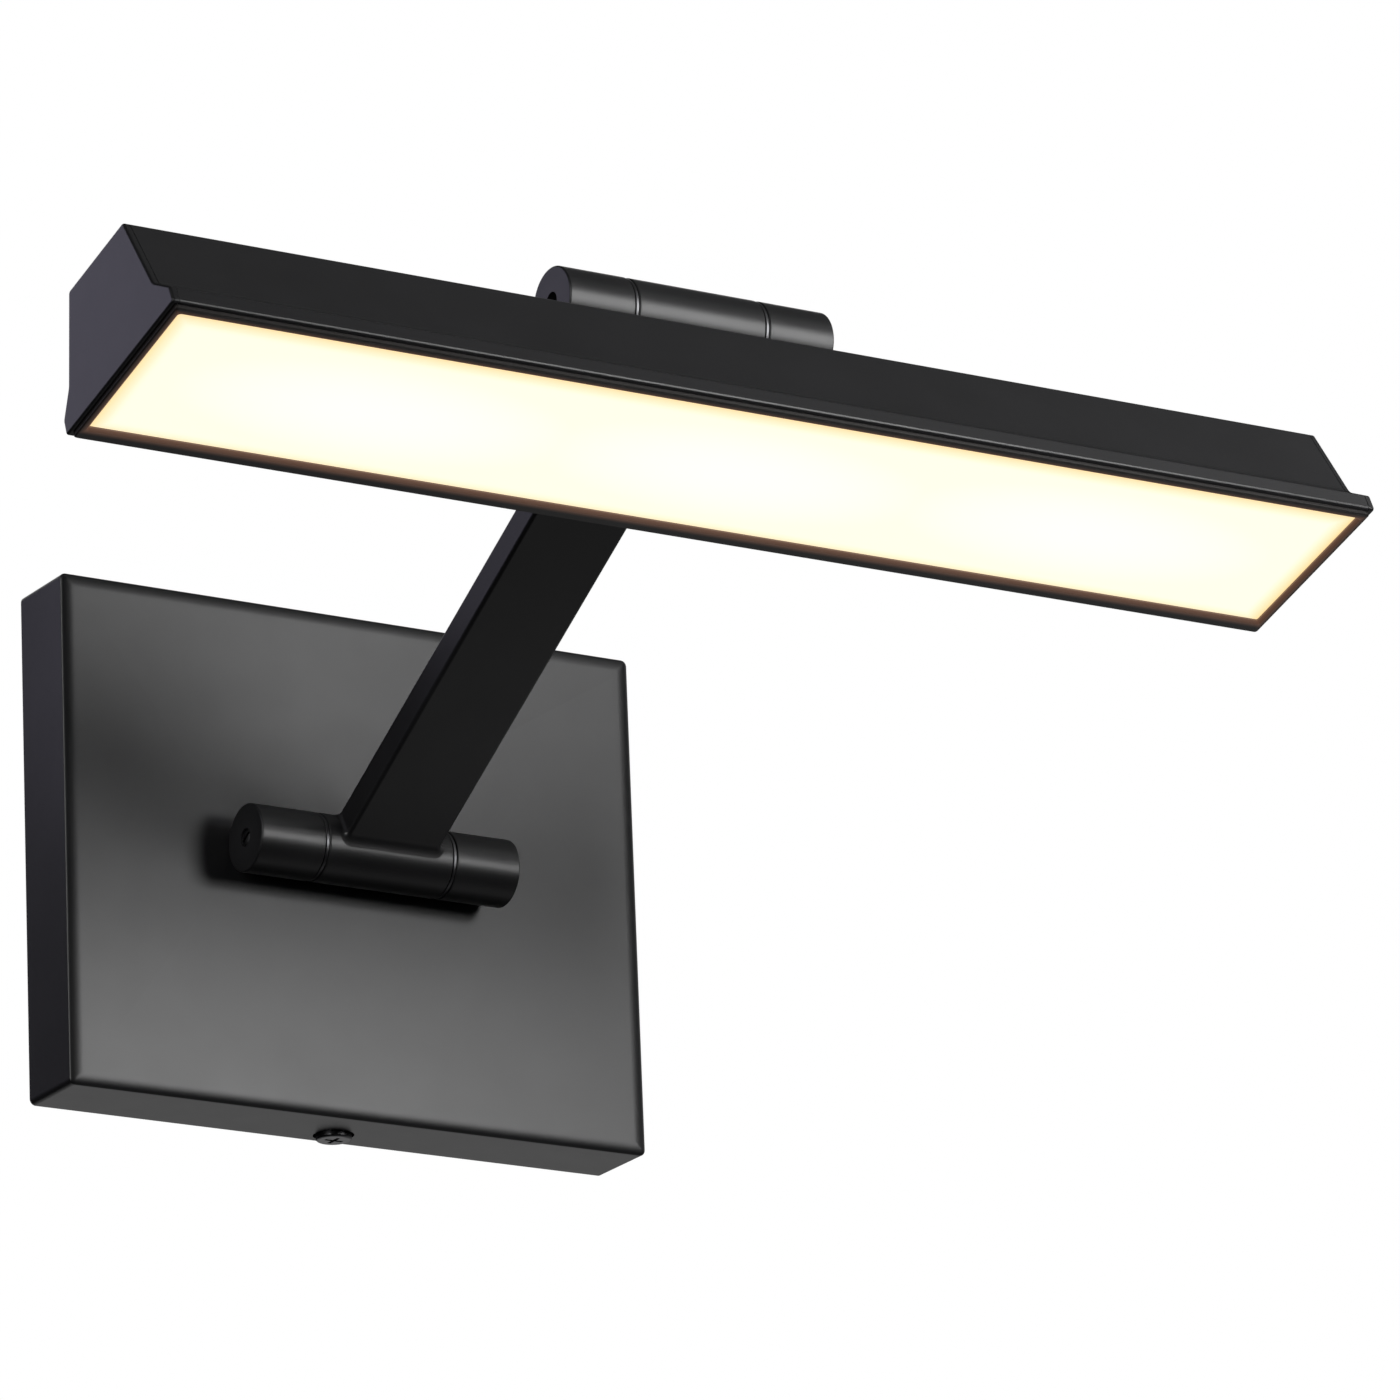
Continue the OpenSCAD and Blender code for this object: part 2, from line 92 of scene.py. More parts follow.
SCREW_DOME = [(0, 2), (0.05, 0.8), (0.2, 0.35), (0.55, 0)]  # depth, and how far inside the rim
GROMMET_R = 2.8
EAR_BORE_END = 28
NECK = (17.5, 29.5, 9)        # from x, to x, width
NECK_CORNER = 1.2
LOWER_FOOT = 8
UPPER_FOOT = 14.5
FOOT_HOLES = (-26.5, -20.5, 19.6)
FOOT_HOLE_R = 1.6
LOWER_RECESS = 0.1
UPPER_RECESS = 3

# arm
ARM = (23, 7)                 # width and thickness
ARM_CORNER = 0.9
ROOT_FILLET = 1.6
CHANNEL = (10, 3)

# head
HEAD_HALF = 143.5
HEAD_H = 28
HEAD_TILT = math.radians(16.5)
PIVOT_RISE = 14.5
PIVOT_BACK = 6
CAP_T = 1.5
SHELL_T = 1.5
OUTLINE = [(-24.5, 0), (-24, 3.8), (-18.5, 8.5), (-12, 28), (12, 28), (18.5, 9), (22.5, 3.6), (22.5, 0)]
OUTLINE_R = [0.7, 0.6, 4, 1, 1, 4, 1.6, 0.7]
BEZEL_INSET = 1
BEZEL_T = 1
BEZEL_EDGE = 0.25
WINDOW = (140.7, -21.4, 18.1)  # half length, front and back
WINDOW_BEVEL = 0.6
DIFFUSER = (141.5, -22.2, 20.4, 2)  # half length, front, back and thickness
DIFFUSER_EDGE = 0.15
BLEED_REACH = 1.8             # how far the painted glow runs onto the bezel
BLEED_POWER = 1.5
BLEED_COLOUR = (0.13, 0.065, 0.042)
SHELL_BREAK = 0.12            # break of the housing's sharp ends


# ---------------------------------------------------------------- places
def joint_at(name):
    return Vector(next(j for j in frame["joints"] if j["name"] == name)["pos_m"])


LOWER_AXIS = joint_at("arm_tilt")
UPPER_AXIS = joint_at("head_tilt")
ARM_LINE = UPPER_AXIS - LOWER_AXIS
ARM_L = ARM_LINE.length / MM
QUARTER = math.pi / 2


def place(origin, turn):
    return Matrix.Translation(origin) @ Matrix.Rotation(turn, 4, "X")


AT_WALL = Matrix()
AT_LOWER = place(LOWER_AXIS, QUARTER)
ALONG_ARM = place(LOWER_AXIS, QUARTER - math.atan2(ARM_LINE.z, -ARM_LINE.y))
AT_UPPER = place(UPPER_AXIS, -HEAD_TILT)
IN_HEAD = AT_UPPER @ Matrix.Translation(Vector((0, -PIVOT_BACK, -PIVOT_RISE - HEAD_H)) * MM)


# ---------------------------------------------------------------- outlines
def rounded(points, radii, steps=10):
    """The closed outline through points, with each corner rounded to its radius."""
    result = []
    for i, b in enumerate(points):
        b = Vector(b)
        u = (Vector(points[i - 1]) - b).normalized()
        v = (Vector(points[(i + 1) % len(points)]) - b).normalized()
        half = u.angle(v) / 2
        r = max(radii[i], 0.01)
        middle = b + (u + v).normalized() * r / math.sin(half)
        p = b + u * r / math.tan(half) - middle
        q = b + v * r / math.tan(half) - middle
        sweep = p.angle(q)
        for k in range(steps + 1):
            t = k / steps
            turn = p * math.sin((1 - t) * sweep) + q * math.sin(t * sweep)
            result.append(middle + turn / math.sin(sweep))
    return result


def inset(points, radii, d):
    """points and radii of the same outline moved inwards by d. The outline runs clockwise."""
    n = len(points)
    moved = []
    new_radii = []
    for i in range(n):
        a, b, c = (Vector(points[j % n]) for j in (i - 1, i, i + 1))
        u, v = (b - a).normalized(), (c - b).normalized()
        nu, nv = Vector((u.y, -u.x)), Vector((v.y, -v.x))
        moved.append(b + (nu + nv) * d / (1 + nu.dot(nv)))
        turn = u.x * v.y - u.y * v.x
        new_radii.append(max(radii[i] - d, 0.01) if turn < 0 else radii[i] + d)
    return moved, new_radii


def box_outline(w, h):
    """Corners of a w by h rectangle about the origin, clockwise."""
    return [(-w / 2, -h / 2), (-w / 2, h / 2), (w / 2, h / 2), (w / 2, -h / 2)]


# ---------------------------------------------------------------- meshes
def piece(name, verts, faces, where=AT_WALL):
    """A mesh object from points in millimetres, without doubled points or stray edges."""
    mesh = bpy.data.meshes.new(name)
    mesh.from_pydata([where @ (Vector(v) * MM) for v in verts], [], faces)
    bm = bmesh.new()
    bm.from_mesh(mesh)
    bmesh.ops.remove_doubles(bm, verts=bm.verts, dist=1e-7)
    on_axis = [e for e in bm.edges if not e.link_faces]
    bmesh.ops.delete(bm, geom=on_axis, context="EDGES")
    bmesh.ops.recalc_face_normals(bm, faces=bm.faces)
    bm.to_mesh(mesh)
    bm.free()
    obj = bpy.data.objects.new(name, mesh)
    bpy.context.scene.collection.objects.link(obj)
    return obj


def loft(name, rings, where=AT_WALL, closed=False):
    """A skin over rings of equally many points. closed joins the last ring to the first.

    Otherwise both end rings are capped.
    """
    n = len(rings[0])
    count = len(rings) if closed else len(rings) - 1
    faces = []
    for k in range(count):
        here, there = k * n, (k + 1) % len(rings) * n
        faces += [(here + i, here + (i + 1) % n, there + (i + 1) % n, there + i) for i in range(n)]
    if not closed:
        faces += [tuple(range(n))[::-1], tuple(range((len(rings) - 1) * n, len(rings) * n))]
    return piece(name, [v for ring in rings for v in ring], faces, where)


def lathe(name, outline, where=AT_WALL, steps=128):
    """Turns the closed outline of (x, radius) points about the X axis."""
    angles = [2 * math.pi * k / steps for k in range(steps)]
    rings = [[(x, r * math.cos(a), r * math.sin(a)) for x, r in outline] for a in angles]
    return loft(name, rings, where, closed=True)


def tube_outline(x0, x1, hole, r, edge0, edge1, steps=8):
    """Half section of a tube, with its outer edges rounded to edge0 and edge1."""
    outline = [(x0, hole)]
    for x, edge, side in ((x0, edge0, 1), (x1, edge1, -1)):
        turns = range(steps + 1) if side > 0 else range(steps, -1, -1)
        for k in turns:
            a = QUARTER * k / steps
            outline.append((x + side * edge * (1 - math.cos(a)), r - edge * (1 - math.sin(a))))
    return outline + [(x1, hole)]


def turned_solid(name, profile, where=AT_WALL, steps=64):
    """A solid turned about the X axis from a profile of (x, radius) points."""
    angles = [2 * math.pi * k / steps for k in range(steps)]
    return loft(name, [[(x, r * math.cos(a), r * math.sin(a)) for a in angles] for x, r in profile], where)


def rod(name, x0, x1, r, where=AT_WALL, steps=64):
    return turned_solid(name, [(x0, r), (x1, r)], where, steps)


def carve(obj, tool, operation="DIFFERENCE"):
    """Cuts tool out of obj, or joins it on, and removes tool."""
    cut = obj.modifiers.new("carve", "BOOLEAN")
    cut.operation = operation
    cut.solver = "EXACT"
    cut.object = tool
    bpy.context.view_layer.update()
    result = bpy.data.meshes.new_from_object(obj.evaluated_get(bpy.context.evaluated_depsgraph_get()))
    obj.modifiers.clear()
    obj.data = result
    bpy.data.objects.remove(tool)
    return obj


def drill(obj, at, r, length, where, along="Z"):
    """A round hole of radius r, from at and length long, along Y or Z of the frame where."""
    turn = Matrix.Rotation(-QUARTER, 4, "Y") if along == "Z" else Matrix.Rotation(QUARTER, 4, "Z")
    return carve(obj, rod("drill", 0, length, r, where @ Matrix.Translation(Vector(at) * MM) @ turn))


def finish(obj, body, slot, *nodes):
    """Smooth shading with clean flats, the slot's material, and the piece's place in the frame."""
    obj.data.polygons.foreach_set("use_smooth", [True] * len(obj.data.polygons))
    obj.data.set_sharp_from_angle(angle=SHARP)
    even = obj.modifiers.new("even_flats", "WEIGHTED_NORMAL")
    even.keep_sharp = True
    obj.data.materials.clear()
    obj.data.materials.append(MATERIALS[slot])
    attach(obj, body)
    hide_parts(*nodes)
    return obj


SHARP = math.radians(40)


# ---------------------------------------------------------------- materials
class Nodes:
    """A node material being built, with short calls for the nodes used here."""

    def __init__(self, name):
        self.material = bpy.data.materials.new(name)
        self.material.use_nodes = True
        self.tree = self.material.node_tree
        self.shader = self.tree.nodes["Principled BSDF"]
        self.where = self.add("ShaderNodeTexCoord").outputs["Object"]

    def add(self, kind, **settings):
        node = self.tree.nodes.new(kind)
        for key, value in settings.items():
            setattr(node, key, value)
        return node

    def link(self, source, target):
        self.tree.links.new(source, target)

    def noise(self, scale, detail=2.0, roughness=0.5, stretch=None):
        """Noise with features about 1/scale metres wide, drawn out along an axis if stretch is given."""
        node = self.add("ShaderNodeTexNoise")
        node.inputs["Scale"].default_value = scale
        node.inputs["Detail"].default_value = detail
        node.inputs["Roughness"].default_value = roughness
        source = self.where
        if stretch:
            mapping = self.add("ShaderNodeMapping")
            mapping.inputs["Scale"].default_value = stretch
            self.link(source, mapping.inputs["Vector"])
            source = mapping.outputs["Vector"]
        self.link(source, node.inputs["Vector"])
        return node.outputs["Fac"]

    def spread(self, source, low, high, from_low=0.3, from_high=0.7):
        """source's middle range spread over low to high."""
        node = self.add("ShaderNodeMapRange")
        names = ("From Min", "From Max", "To Min", "To Max")
        for key, value in zip(names, (from_low, from_high, low, high)):
            node.inputs[key].default_value = value
        self.link(source, node.inputs["Value"])
        return node.outputs["Result"]

    def blend(self, factor, a, b):
        """Colour a where factor is 0, b where it is 1."""
        node = self.add("ShaderNodeMix", data_type="RGBA")
        self.link(factor, node.inputs["Factor"])
        for socket, colour in (("A", a), ("B", b)):
            target = next(i for i in node.inputs if i.name == socket and i.type == "RGBA")
            if isinstance(colour, tuple):
                target.default_value = (*colour, 1)
            else:
                self.link(colour, target)
        return next(o for o in node.outputs if o.type == "RGBA")

    def bump(self, height, distance, strength=1.0, onto=None):
        node = self.add("ShaderNodeBump")
        node.inputs["Strength"].default_value = strength
        node.inputs["Distance"].default_value = distance
        self.link(height, node.inputs["Height"])
        if onto:
            self.link(onto, node.inputs["Normal"])
        return node.outputs["Normal"]

    def math(self, operation, a, b=0.0):
        """A math node on a and b, each a number or another node's output."""
        node = self.add("ShaderNodeMath", operation=operation)
        for source, socket in zip((a, b), node.inputs):
            if isinstance(source, (int, float)):
                socket.default_value = source
            else:
                self.link(source, socket)
        return node.outputs[0]

    def set(self, **values):
        for key, value in values.items():
            self.shader.inputs[key.replace("_", " ")].default_value = value


def shade(rgb, factor):
    return tuple(min(1.0, c * factor) for c in rgb)


def window_glow(m):
    """Warm light bled from the diffuser onto the bezel, painted on so that it fades away from the window."""
    place = m.add("ShaderNodeMapping", vector_type="TEXTURE")
    place.inputs["Location"].default_value = IN_HEAD.translation
    place.inputs["Rotation"].default_value = IN_HEAD.to_euler()
    m.link(m.where, place.inputs["Vector"])
    apart = m.add("ShaderNodeSeparateXYZ")
    m.link(place.outputs["Vector"], apart.inputs["Vector"])
    half, front, back = (v * MM for v in WINDOW)
    beyond_end = m.math("SUBTRACT", m.math("ABSOLUTE", apart.outputs["X"]), half)
    beyond_front = m.math("SUBTRACT", front, apart.outputs["Y"])
    beyond_back = m.math("SUBTRACT", apart.outputs["Y"], back)
    away = m.math("MAXIMUM", m.math("MAXIMUM", beyond_front, beyond_back), beyond_end)
    fade = m.spread(away, 1, 0, 0, BLEED_REACH * MM)
    glow = m.blend(m.math("POWER", fade, BLEED_POWER), (0, 0, 0), BLEED_COLOUR)
    m.link(glow, m.shader.inputs["Emission Color"])
    m.set(Emission_Strength=1)


def powder_coat(name, rgb, rough, finishing=None):
    """Baked powder: faint orange peel, tiny grains, and edges painted lighter, partly slight rubbed wear and
    partly a painted edge highlight.
    """
    m = Nodes(name)
    clouds = m.noise(60, detail=3)
    colour = m.blend(m.spread(clouds, 0, 1), shade(rgb, 0.85), shade(rgb, 1.2))
    # sharply curved edges get a lighter base colour: partly rubbed wear, partly a painted highlight along the
    # edges
    edge = m.spread(m.add("ShaderNodeNewGeometry").outputs["Pointiness"], 0, 0.35, 0.52, 0.6)
    m.link(m.blend(edge, colour, shade(rgb, 3)), m.shader.inputs["Base Color"])
    m.link(m.spread(m.noise(140, detail=4), rough - 0.006, rough + 0.008), m.shader.inputs["Roughness"])
    peel = m.bump(m.noise(900, detail=1), 0.00001, 0.35)
    m.link(m.bump(m.noise(5200, detail=2), 0.000004, 0.3, peel), m.shader.inputs["Normal"])
    m.set(Specular_IOR_Level=0.5)
    if finishing:
        finishing(m)
    return m.material


def drawn_metal(name, rgb, rough, stretch=(1, 40, 40), metallic=1.0):
    """Metal with fine lines from drawing or turning, and clouds of plating."""
    m = Nodes(name)
    m.link(m.blend(m.spread(m.noise(90, detail=3), 0, 1), shade(rgb, 0.88), shade(rgb, 1.06)),
           m.shader.inputs["Base Color"])
    lines = m.noise(120, detail=4, roughness=0.7, stretch=stretch)
    m.link(m.spread(lines, rough - 0.06, rough + 0.1), m.shader.inputs["Roughness"])
    m.link(m.bump(lines, 0.000006, 0.4), m.shader.inputs["Normal"])
    m.set(Metallic=metallic)
    return m.material


def moulded(name, rgb, rough, grain=2500, relief=0.000012):
    """Moulded plastic, nylon or rubber with a fine spark-eroded grain."""
    m = Nodes(name)
    m.link(m.blend(m.spread(m.noise(45, detail=3), 0, 1), shade(rgb, 0.93), shade(rgb, 1.05)),
           m.shader.inputs["Base Color"])
    m.link(m.spread(m.noise(300, detail=3), rough - 0.05, rough + 0.07), m.shader.inputs["Roughness"])
    m.link(m.bump(m.noise(grain, detail=2), relief, 0.5), m.shader.inputs["Normal"])
    return m.material


def foam(name, rgb):
    """Open foam with fine cells."""
    m = Nodes(name)
    cells = m.add("ShaderNodeTexVoronoi")
    cells.inputs["Scale"].default_value = 1400
    m.link(m.where, cells.inputs["Vector"])
    distance = cells.outputs["Distance"]
    m.link(m.blend(m.spread(distance, 0, 1, 0.1, 0.6), shade(rgb, 0.6), shade(rgb, 1.2)),
           m.shader.inputs["Base Color"])
    m.link(m.bump(distance, 0.0002, 0.8), m.shader.inputs["Normal"])
    m.link(m.spread(distance, 0.95, 0.8, 0.1, 0.6), m.shader.inputs["Roughness"])
    return m.material


def enamel(name, rgb, rough):
    """White reflective enamel or solder mask, with a faint brushed sheet below it."""
    m = Nodes(name)
    m.link(m.blend(m.spread(m.noise(70, detail=4), 0, 1), shade(rgb, 0.95), shade(rgb, 1.04)),
           m.shader.inputs["Base Color"])
    sheet = m.noise(150, detail=3, stretch=(1, 30, 30))
    m.link(m.spread(sheet, rough - 0.04, rough + 0.06), m.shader.inputs["Roughness"])
    m.link(m.bump(sheet, 0.000005, 0.3), m.shader.inputs["Normal"])
    return m.material


# lit diffuser: warm white, with whiter patches over the lamps and a warmer rim
GLOW_CENTRE = (1.0, 1.0, 0.9)
GLOW_BODY = (1.0, 0.975, 0.77)
GLOW_RIM = (1.0, 0.72, 0.32)
GLOW_STRENGTH = 1.03
HOT_SPOTS = (-0.085, 0.0, 0.085)   # along the head, in metres
SPOT_SIZE = (0.13, 0.28)           # half size, as parts of the diffuser's length and width
RIM_FADE = (0.5, 5)                # millimetres from the edge over which the rim turns into the body


def lit_opal(name):
    """Opal plastic lit from behind, whiter over the lamps and warmer at its rim."""
    m = Nodes(name)
    split = m.add("ShaderNodeSeparateXYZ")
    m.link(m.add("ShaderNodeTexCoord").outputs["Generated"], split.inputs["Vector"])
    x = m.math("SUBTRACT", split.outputs["X"], 0.5)
    y = m.math("SUBTRACT", split.outputs["Y"], 0.5)
    length = 2 * DIFFUSER[0]
    width = DIFFUSER[2] - DIFFUSER[1]
    from_end = m.math("MULTIPLY", m.math("SUBTRACT", 0.5, m.math("ABSOLUTE", x)), length)
    from_side = m.math("MULTIPLY", m.math("SUBTRACT", 0.5, m.math("ABSOLUTE", y)), width)
    from_edge = m.math("SMOOTH_MIN", from_end, from_side)
    body = m.spread(from_edge, 0, 1, *RIM_FADE)
    wobble = m.spread(m.noise(14, detail=1), -0.06, 0.06)
    patch = None
    for spot in HOT_SPOTS:
        dx = m.math("DIVIDE", m.math("SUBTRACT", x, spot / (length * MM)), SPOT_SIZE[0])
        dy = m.math("DIVIDE", y, SPOT_SIZE[1])
        squares = [m.math("POWER", m.math("ABSOLUTE", offset), 2) for offset in (dx, dy)]
        far = m.math("ADD", squares[0], squares[1])
        near = m.spread(m.math("ADD", far, wobble), 1, 0, 0.0, 1.6)
        patch = near if patch is None else m.math("MAXIMUM", patch, near)
    colour = m.blend(patch, GLOW_BODY, GLOW_CENTRE)
    colour = m.blend(body, GLOW_RIM, colour)
    m.link(colour, m.shader.inputs["Emission Color"])
    m.set(Emission_Strength=GLOW_STRENGTH, Base_Color=(0.3, 0.29, 0.26, 1), Roughness=0.45)
    m.link(m.bump(m.noise(1500, detail=2), 0.000004, 0.2), m.shader.inputs["Normal"])
    return m.material


def lit_chip(name):
    """The glowing phosphor of an LED."""
    m = Nodes(name)
    glow = m.blend(m.spread(m.noise(800), 0, 1), (1, 0.72, 0.3), (1, 0.82, 0.45))
    m.link(glow, m.shader.inputs["Emission Color"])
    m.link(glow, m.shader.inputs["Base Color"])
    m.set(Emission_Strength=1.5, Roughness=0.3)
    return m.material


MATERIALS = {
    "black_coat": powder_coat("black_coat", (0.013, 0.013, 0.014), 0.37),
    "black_bezel": powder_coat("black_bezel", (0.014, 0.0125, 0.012), 0.36, window_glow),
    "black_screw": drawn_metal("black_screw", (0.13, 0.13, 0.135), 0.34),
    "steel_screw": drawn_metal("steel_screw", (0.62, 0.62, 0.63), 0.26),
    "green_screw": drawn_metal("green_screw", (0.10, 0.42, 0.16), 0.3),
    "zinc_plate": drawn_metal("zinc_plate", (0.58, 0.6, 0.63), 0.32),
    "bright_washer": drawn_metal("bright_washer", (0.11, 0.11, 0.115), 0.34, stretch=(60, 1, 1)),
    "grommet_rubber": moulded("grommet_rubber", (0.018, 0.018, 0.019), 0.7),
    "driver_case": moulded("driver_case", (0.8, 0.8, 0.78), 0.5),
    "foam_pad": foam("foam_pad", (0.3, 0.3, 0.3)),
    "lead_jacket": moulded("lead_jacket", (0.02, 0.02, 0.021), 0.45),
    "nylon_bush": moulded("nylon_bush", (0.82, 0.79, 0.7), 0.4),
    "opal_diffuser": lit_opal("opal_diffuser"),
    "reflector_white": enamel("reflector_white", (0.88, 0.88, 0.86), 0.3),
    "board_white": enamel("board_white", (0.86, 0.86, 0.84), 0.36),
    "led_phosphor": lit_chip("led_phosphor"),
    "connector_plastic": moulded("connector_plastic", (0.88, 0.87, 0.82), 0.4),
}


# ---------------------------------------------------------------- wall plate
def make_canopy():
    """A deep-drawn plate: rounded outside edges, open at the wall, with a recess for the lock screw."""
    w = PLATE_HIGH.x - PLATE_LOW.x
    h = PLATE_HIGH.z - PLATE_LOW.z
    corners = box_outline(w, h)

    def ring(y, d):
        points, radii = inset(corners, [PLATE_CORNER] * len(corners), d)
        radii = [max(r, PLATE_INNER_CORNER) for r in radii]
        return [(p.x, y, p.y) for p in rounded(points, radii, steps=8)]

    front = PLATE_LOW.y
    rings = [ring(front, PLATE_EDGE[0] + PLATE_FLAT_BORDER)]
    steps = 16
    for k in range(steps + 1):
        a = QUARTER * k / steps
        rings.append(ring(front + PLATE_EDGE[1] * (1 - math.cos(a)), PLATE_EDGE[0] * (1 - math.sin(a))))
    rings += [ring(-0.3, 0), ring(0, 0.3), ring(0, PLATE_WALL), ring(front + PLATE_WALL, PLATE_WALL)]
    plate = loft("canopy_skin", rings)
    at_lock = Matrix.Translation(Vector((0, LOCK_Y, PLATE_LOW.z)) * MM)
    upright = at_lock @ Matrix.Rotation(-QUARTER, 4, "Y")
    carve(plate, rod("boss", PLATE_WALL - 0.1, PLATE_WALL + LOCK_BOSS[1], LOCK_BOSS[0], upright), "UNION")
    carve(plate, rod("recess", -1, LOCK_RECESS[1], LOCK_RECESS[0], upright))
    carve(plate, rod("hole", -1, 6, LOCK_HOLE, upright))
    ahead = Matrix.Translation(Vector((0, front - 2, 0)) * MM)
    for x in FOOT_HOLES:
        drill(plate, (x, 1, 0), FOOT_HOLE_R, 4, ahead, "Y")
    drill(plate, (WIRE_X, 1, 0), GROMMET_R, 4, ahead, "Y")
    finish(plate, "base", "black_coat", "canopy")


# ---------------------------------------------------------------- knuckles
def on_barrel(outline, normals, z_sign, z_shift, fillet, bury=0.05, steps=8):
    """Rings that blend a bar of the given outline into a barrel of KNUCKLE_R, from the barrel outwards."""
    rings = []
    for k in range(steps + 1):
        a = QUARTER * (1 - k / steps)
        out = fillet * (1 - math.cos(a))
        rise = fillet * (1 - math.sin(a)) - (bury if k == 0 else 0)
        ring = []
        for p, n in zip(outline, normals):
            x, y = p.x + n.x * out, p.y + n.y * out
            ring.append((x, y, z_shift + z_sign * (math.sqrt(KNUCKLE_R ** 2 - y ** 2) + rise)))
        rings.append(ring)
    return rings


def outward(outline):
    """Unit normals of a closed clockwise outline."""
    n = len(outline)
    result = []
    for i in range(n):
        along = (outline[(i + 1) % n] - outline[i - 1]).normalized()
        result.append(Vector((-along.y, along.x)))
    return result


def bar_outline(w, h, corner, x=0):
    points = rounded(box_outline(w, h), [corner] * 4, steps=6)
    return [Vector((p.x + x, p.y)) for p in points]


def make_ear(name, side, where, foot, body, node):
    """A fixed ear: a short barrel with a rounded outer edge, on a neck that stands on its foot."""
    bore = (PIVOT_R if side < 0 else WIRE_PIVOT_R) + BORE_PLAY
    outline = tube_outline(EAR_INNER, KNUCKLE_HALF, bore, KNUCKLE_R, SEAM, EAR_ROUND)
    if side > 0:
        closed = [(x, r) for x, r in outline if r > bore + 0.001]
        outline = [(EAR_INNER, bore)] + closed
        outline += [(KNUCKLE_HALF, 0.0), (EAR_BORE_END, 0.0), (EAR_BORE_END, bore)]
    ear = lathe(name, [(side * x, r) for x, r in outline], where)
    neck_x = side * (NECK[0] + NECK[1]) / 2
    neck = bar_outline(NECK[1] - NECK[0], NECK[2], NECK_CORNER, neck_x)
    normals = outward(neck)
    fillet = min(1.0, foot - KNUCKLE_R - 0.2)
    rings = [[(p.x, p.y, -5) for p in neck]]
    rings += on_barrel(neck, normals, -1, 0, fillet)
    rings.append([(p.x, p.y, FOOT_BREAK - foot) for p in neck])
    rings.append([(p.x - n.x * FOOT_BREAK, p.y - n.y * FOOT_BREAK, -foot) for p, n in zip(neck, normals)])
    carve(ear, loft("neck", rings, where), "UNION")
    if side > 0:
        drill(ear, (WIRE_X, 0, -foot - 1), WIRE_R, foot, where)
    finish(ear, body, "black_coat", node)


def make_washers(name, where, body, node):
    """Two turned washers in one piece of the table, one on each side of the barrel."""
    near, far, r = WASHER
    outlines = [tube_outline(near, far, pin + WASHER_PLAY, r, WASHER_EDGE, WASHER_EDGE)
                for pin in (PIVOT_R, WIRE_PIVOT_R)]
    left = lathe(name, [(-x, y) for x, y in outlines[0]], where)
    right = lathe("right", outlines[1], where)
    carve(left, right, "UNION")
    finish(left, body, "bright_washer", node)


def make_pivot_screw(name, where, recess, body, node):
    """A screw with a domed and slotted head, and a thinner nose."""
    head = recess - KNUCKLE_HALF
    shoulder = -BARREL_HALF - 0.1
    outline = [(head + depth, PIVOT_R - inside) for depth, inside in SCREW_DOME]
    outline += [(shoulder, PIVOT_R), (shoulder, NOSE_R)]
    outline += [(-NOSE_END - 0.2, NOSE_R), (-NOSE_END, NOSE_R - 0.2), (-NOSE_END, 0)]
    screw = lathe(name, outline, where, steps=64)
    slot = [(x, y, z) for x in (head - 1, head + SLOT[1]) for y, z in box_outline(2 * PIVOT_R + 2, SLOT[0])]
    turned = where @ Matrix.Rotation(SLOT_TURN, 4, "X")
    carve(screw, loft("slot", [slot[:4], slot[4:]], turned))
    finish(screw, body, "black_screw", node)


# ---------------------------------------------------------------- arm
def make_arm():
    """A flat bar that runs out of a barrel at each end, with small concave fillets at its roots."""
    bores = [(-BARREL_HALF - 1, PIVOT_BUSH_R), (-CHAMBER_X, PIVOT_BUSH_R)]
    bores += [(-CHAMBER_X, WIRE_BUSH_R), (BARREL_HALF + 1, WIRE_BUSH_R)]
    solid = tube_outline(-BARREL_HALF, BARREL_HALF, 0, KNUCKLE_R, SEAM, SEAM)[1:-1]
    arm = turned_solid("arm_skin", solid, ALONG_ARM, steps=128)
    top = ALONG_ARM @ Matrix.Translation(Vector((0, 0, ARM_L)) * MM)
    bar = bar_outline(ARM[0], ARM[1], ARM_CORNER)
    normals = outward(bar)
    low = on_barrel(bar, normals, 1, 0, ROOT_FILLET)
    high = on_barrel(bar, normals, -1, ARM_L, ROOT_FILLET)[::-1]
    inner = [[(p.x, p.y, z) for p in bar] for z in (2, 3)]
    outer = [[(p.x, p.y, ARM_L - z) for p in bar] for z in (3, 2)]
    carve(arm, loft("bar", inner + low + high + outer, ALONG_ARM), "UNION")
    carve(arm, turned_solid("upper_barrel", solid, top, steps=128), "UNION")
    for where in (ALONG_ARM, top):
        carve(arm, turned_solid("bores", bores, where))
    channel = bar_outline(CHANNEL[0], CHANNEL[1], 0.3)
    carve(arm, loft("channel", [[(p.x, p.y, z) for p in channel] for z in (2, ARM_L - 2)], ALONG_ARM))
    finish(arm, "arm", "black_coat", "arm")


# ---------------------------------------------------------------- head
def section(x, d=0.0):
    """The head's outline at x, moved inwards by d."""
    points, radii = inset(OUTLINE, OUTLINE_R, d)
    return [(x, p.x, p.y) for p in rounded(points, radii)]


